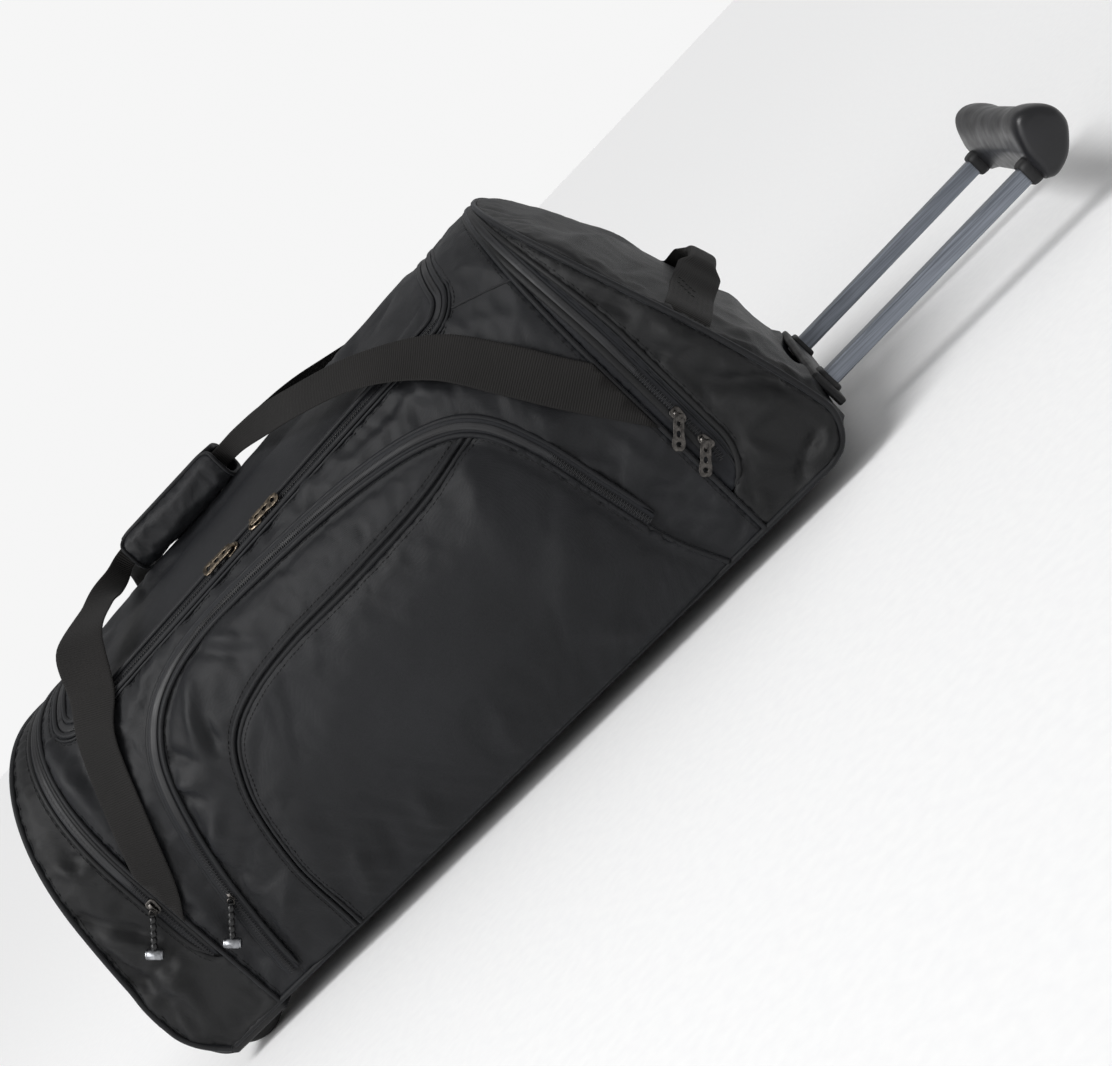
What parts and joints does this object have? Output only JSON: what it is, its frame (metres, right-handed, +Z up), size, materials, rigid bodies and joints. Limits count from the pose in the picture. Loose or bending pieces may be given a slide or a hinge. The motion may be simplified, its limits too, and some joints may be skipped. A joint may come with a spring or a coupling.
{
  "type": "rolling duffel bag",
  "caption": "Wheeled fabric duffel bag with an arched front pocket, end pockets, zips, carry straps and a telescoping trolley handle.",
  "frame": {"origin": "centre of the whole object's box, on the ground that the wheels and runners stand on", "axes": "+X from the wheels to the trolley handle, +Y from the side with the arched pocket to the plain side, +Z up with the bag lying on its base"},
  "size_m": [1.0066, 0.3662, 0.3725],
  "materials": {
    "shell_fabric": "close woven black polyester with a dull sheen",
    "webbing": "ribbed black polypropylene webbing and cord",
    "zip_tape": "black zip tape with nylon coil teeth",
    "zip_metal": "dark antique metal",
    "rail_metal": "blue-grey anodised satin",
    "inner_metal": "plain zinc plated",
    "plastic": "fine textured black moulding",
    "tyre": "matte black rubber",
    "board": "stiff dark board"
  },
  "bodies": {
    "bag": {"side_panel_front": "shell_fabric", "side_panel_back": "shell_fabric", "base_panel": "shell_fabric", "base_board": "board", "false_floor": "board", "top_yoke_wheel_end": "shell_fabric", "top_yoke_handle_end": "shell_fabric", "partition_wheel_end": "shell_fabric", "partition_handle_end": "shell_fabric", "zip_band_wheel_end": "zip_tape", "zip_band_handle_end": "zip_tape", "end_pocket_handle": "shell_fabric", "end_pocket_wheel": "shell_fabric", "front_pocket": "shell_fabric", "main_zip_front": "zip_tape", "main_zip_wheel_end": "zip_tape", "main_zip_handle_end": "zip_tape", "outer_tube_front": "inner_metal", "outer_tube_back": "inner_metal", "tube_anchor": "plastic", "rail_bezel": "plastic", "wheel_housing_front": "plastic", "wheel_housing_back": "plastic", "axle_front": "inner_metal", "axle_back": "inner_metal", "handle_end_base": "shell_fabric", "kick_plate": "plastic", "base_runner_front": "plastic", "base_runner_back": "plastic", "end_grab_handle": "webbing"},
    "lid": {"top_lid": "shell_fabric"},
    "trolley_handle": {"inner_rail_front": "rail_metal", "inner_rail_back": "rail_metal", "rail_shoe_front": "plastic", "rail_shoe_back": "plastic", "handle_grip": "plastic"},
    "button": {"release_button": "plastic", "push_rod_front": "inner_metal", "push_rod_back": "inner_metal"},
    "lock_pin_front": {"lock_pin_front": "inner_metal"},
    "wheel_front": {"wheel_tyre_front": "tyre", "wheel_hub_front": "plastic"},
    "lock_pin_back": {"lock_pin_back": "inner_metal"},
    "wheel_back": {"wheel_tyre_back": "tyre", "wheel_hub_back": "plastic"},
    "strap_front": {"carry_strap_front": "webbing", "wrap_grip": "shell_fabric"},
    "strap_back": {"carry_strap_back": "webbing"},
    "main_slider_left": {"main_slider_left": "zip_metal"},
    "main_pull_left": {"main_pull_left": "zip_metal"},
    "main_slider_right": {"main_slider_right": "zip_metal"},
    "main_pull_right": {"main_pull_right": "zip_metal"},
    "end_slider_upper": {"end_slider_upper": "zip_metal"},
    "end_pull_upper": {"end_pull_upper": "zip_metal"},
    "end_slider_lower": {"end_slider_lower": "zip_metal"},
    "end_pull_lower": {"end_pull_lower": "zip_metal"},
    "wheel_pocket_slider": {"wheel_pocket_slider": "zip_metal"},
    "wheel_pocket_cord_pull": {"wheel_pocket_cord_pull": "webbing"},
    "front_pocket_slider": {"front_pocket_slider": "zip_metal"},
    "front_pocket_cord_pull": {"front_pocket_cord_pull": "webbing"}
  },
  "joints": [
    {"name": "handle_slide", "type": "slide", "parent": "bag", "child": "trolley_handle", "axis": [0.9997, 0, 0.025], "range_m": [-0.205, 0]},
    {"name": "button_press", "type": "slide", "parent": "trolley_handle", "child": "button", "axis": [-0.9997, 0, -0.025], "range_m": [0, 0.004], "stiffness_N_per_m": 400, "springref_m": -0.002},
    {"name": "lock_pin_front_retract", "type": "slide", "parent": "trolley_handle", "child": "lock_pin_front", "axis": [0, 1, 0], "range_m": [0, 0.0015]},
    {"name": "lock_pin_back_retract", "type": "slide", "parent": "trolley_handle", "child": "lock_pin_back", "axis": [0, -1, 0], "range_m": [0, 0.0015]},
    {"name": "wheel_front_spin", "type": "hinge", "parent": "bag", "child": "wheel_front", "pos_m": [-0.45626, -0.12942, 0.034], "axis": [0, 1, 0], "continuous": true},
    {"name": "wheel_back_spin", "type": "hinge", "parent": "bag", "child": "wheel_back", "pos_m": [-0.45626, 0.14258, 0.034], "axis": [0, 1, 0], "continuous": true},
    {"name": "lid_open", "type": "hinge", "parent": "bag", "child": "lid", "pos_m": [-0.15126, 0.12127, 0.30394], "axis": [-0.9995, 0, -0.0329], "range_deg": [0, 100]},
    {"name": "strap_front_swing", "type": "hinge", "parent": "bag", "child": "strap_front", "pos_m": [-0.13126, -0.16482, 0.138], "axis": [1, 0, 0], "range_deg": [0, 130]},
    {"name": "strap_back_swing", "type": "hinge", "parent": "bag", "child": "strap_back", "pos_m": [-0.13126, 0.17798, 0.138], "axis": [-1, 0, 0], "range_deg": [0, 130]},
    {"name": "main_slider_left_run", "type": "slide", "parent": "bag", "child": "main_slider_left", "axis": [-0.9995, 0, -0.031], "range_m": [0, 0.19]},
    {"name": "main_pull_left_swing", "type": "hinge", "parent": "main_slider_left", "child": "main_pull_left", "pos_m": [-0.17126, -0.12199, 0.29997], "axis": [0, 0.7524, 0.6587], "range_deg": [0, 150]},
    {"name": "main_slider_right_run", "type": "slide", "parent": "bag", "child": "main_slider_right", "axis": [0.9995, 0, 0.031], "range_m": [0, 0.19]},
    {"name": "main_pull_right_swing", "type": "hinge", "parent": "main_slider_right", "child": "main_pull_right", "pos_m": [-0.14326, -0.12201, 0.30082], "axis": [0, -0.7502, -0.6612], "range_deg": [0, 150]},
    {"name": "end_slider_upper_run", "type": "slide", "parent": "bag", "child": "end_slider_upper", "axis": [0, 0, 1], "range_m": [0, 0.035]},
    {"name": "end_pull_upper_swing", "type": "hinge", "parent": "end_slider_upper", "child": "end_pull_upper", "pos_m": [0.15274, -0.16942, 0.128], "axis": [-0.7071, 0, 0.7071], "range_deg": [0, 120]},
    {"name": "end_slider_lower_run", "type": "slide", "parent": "bag", "child": "end_slider_lower", "axis": [0, 0, -1], "range_m": [0, 0.018]},
    {"name": "end_pull_lower_swing", "type": "hinge", "parent": "end_slider_lower", "child": "end_pull_lower", "pos_m": [0.15274, -0.16942, 0.1], "axis": [-0.7071, 0, 0.7071], "range_deg": [0, 120]},
    {"name": "wheel_pocket_slider_run", "type": "slide", "parent": "bag", "child": "wheel_pocket_slider", "axis": [0, 0, 1], "range_m": [-0.045, 0.012]},
    {"name": "wheel_pocket_cord_pull_swing", "type": "hinge", "parent": "wheel_pocket_slider", "child": "wheel_pocket_cord_pull", "pos_m": [-0.42276, -0.17092, 0.148], "axis": [-0.7071, 0, 0.7071], "range_deg": [0, 120]},
    {"name": "front_pocket_slider_run", "type": "slide", "parent": "bag", "child": "front_pocket_slider", "axis": [0.0599, 0, 0.9982], "range_m": [-0.06, 0.012]},
    {"name": "front_pocket_cord_pull_swing", "type": "hinge", "parent": "front_pocket_slider", "child": "front_pocket_cord_pull", "pos_m": [-0.37076, -0.17092, 0.11], "axis": [-0.7071, 0, 0.7071], "range_deg": [0, 120]}
  ],
  "couplings": [
    {"joint": "lock_pin_front_retract", "follows": "button_press", "ratio": 0.375},
    {"joint": "lock_pin_back_retract", "follows": "button_press", "ratio": 0.375},
    {"joint": "strap_front_swing", "follows": "lid_open", "ratio": 1.3},
    {"joint": "strap_back_swing", "follows": "lid_open", "ratio": 1.3}
  ]
}
